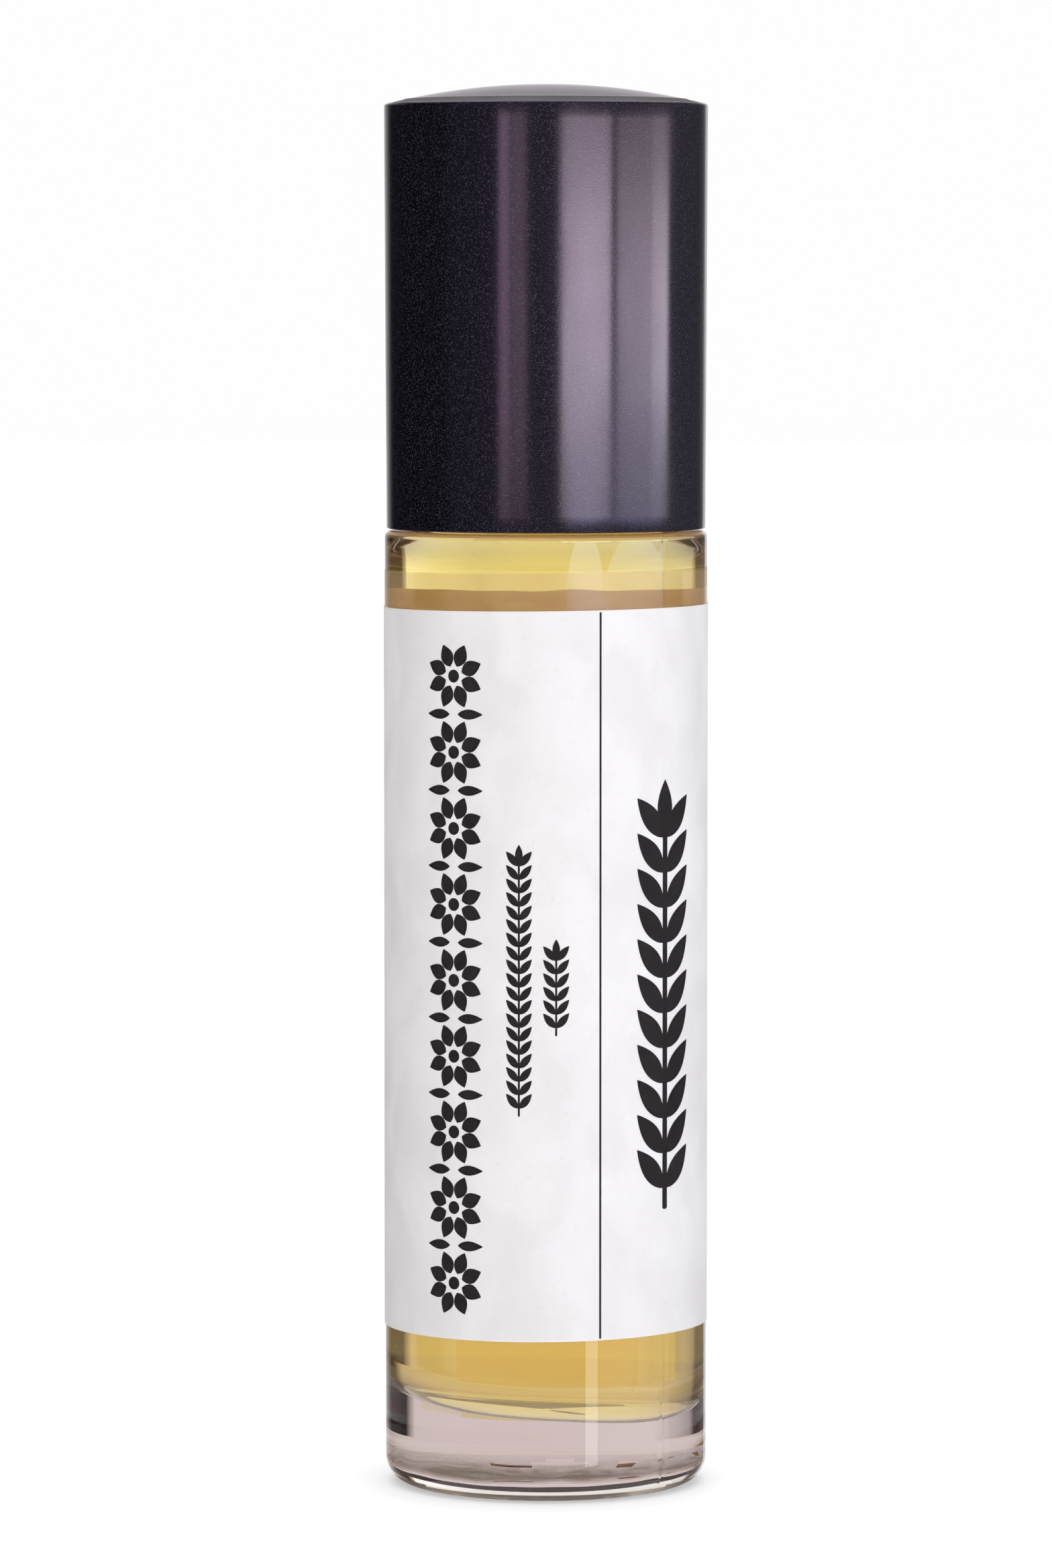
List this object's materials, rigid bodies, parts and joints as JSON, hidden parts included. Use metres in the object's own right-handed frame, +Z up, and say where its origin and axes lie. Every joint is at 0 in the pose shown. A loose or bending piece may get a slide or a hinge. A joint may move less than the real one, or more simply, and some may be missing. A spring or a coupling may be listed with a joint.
{
  "type": "roll-on perfume oil bottle",
  "caption": "Clear glass roll-on bottle of amber perfume oil with a wrap-round label, a steel roller ball in a press-in housing and a tall black screw cap that turns off.",
  "frame": {"origin": "middle of the foot, on the surface that the bottle stands on", "axes": "+Z up along the bottle's axis, -Y towards the front of the label as pictured, +X to the right of it"},
  "size_m": [0.0202, 0.0202, 0.0865],
  "materials": {
    "clear_glass": "polished",
    "amber_oil": "gloss",
    "natural_polyethylene": "satin",
    "polished_steel": "polished",
    "black_satin_plastic": "satin",
    "white_polyethylene": "satin",
    "white_label_stock": "satin",
    "clear_film": "gloss",
    "label_ink": "satin"
  },
  "bodies": {
    "bottle": {"glass_bottle": "clear_glass", "perfume_oil": "amber_oil", "ball_housing": "natural_polyethylene", "label_paper": "white_label_stock", "label_film": "clear_film"},
    "ball": {"roller_ball": "polished_steel"},
    "seal": {"cap_liner": "white_polyethylene"},
    "cap": {"cap_shell": "black_satin_plastic"}
  },
  "joints": [
    {"name": "cap_turn", "type": "hinge", "parent": "seal", "child": "cap", "pos_m": [0, 0, 0.0592], "axis": [0, 0, 1], "range_deg": [0, 2340]},
    {"name": "cap_rise", "type": "slide", "parent": "bottle", "child": "seal", "axis": [0, 0, 1], "range_m": [0, 0.0195]},
    {"name": "ball_roll", "type": "hinge", "parent": "bottle", "child": "ball", "pos_m": [0, 0, 0.07278], "axis": [1, 0, 0], "continuous": true}
  ],
  "couplings": [
    {"joint": "cap_rise", "follows": "cap_turn", "m_per_rad": 0.00047746}
  ]
}
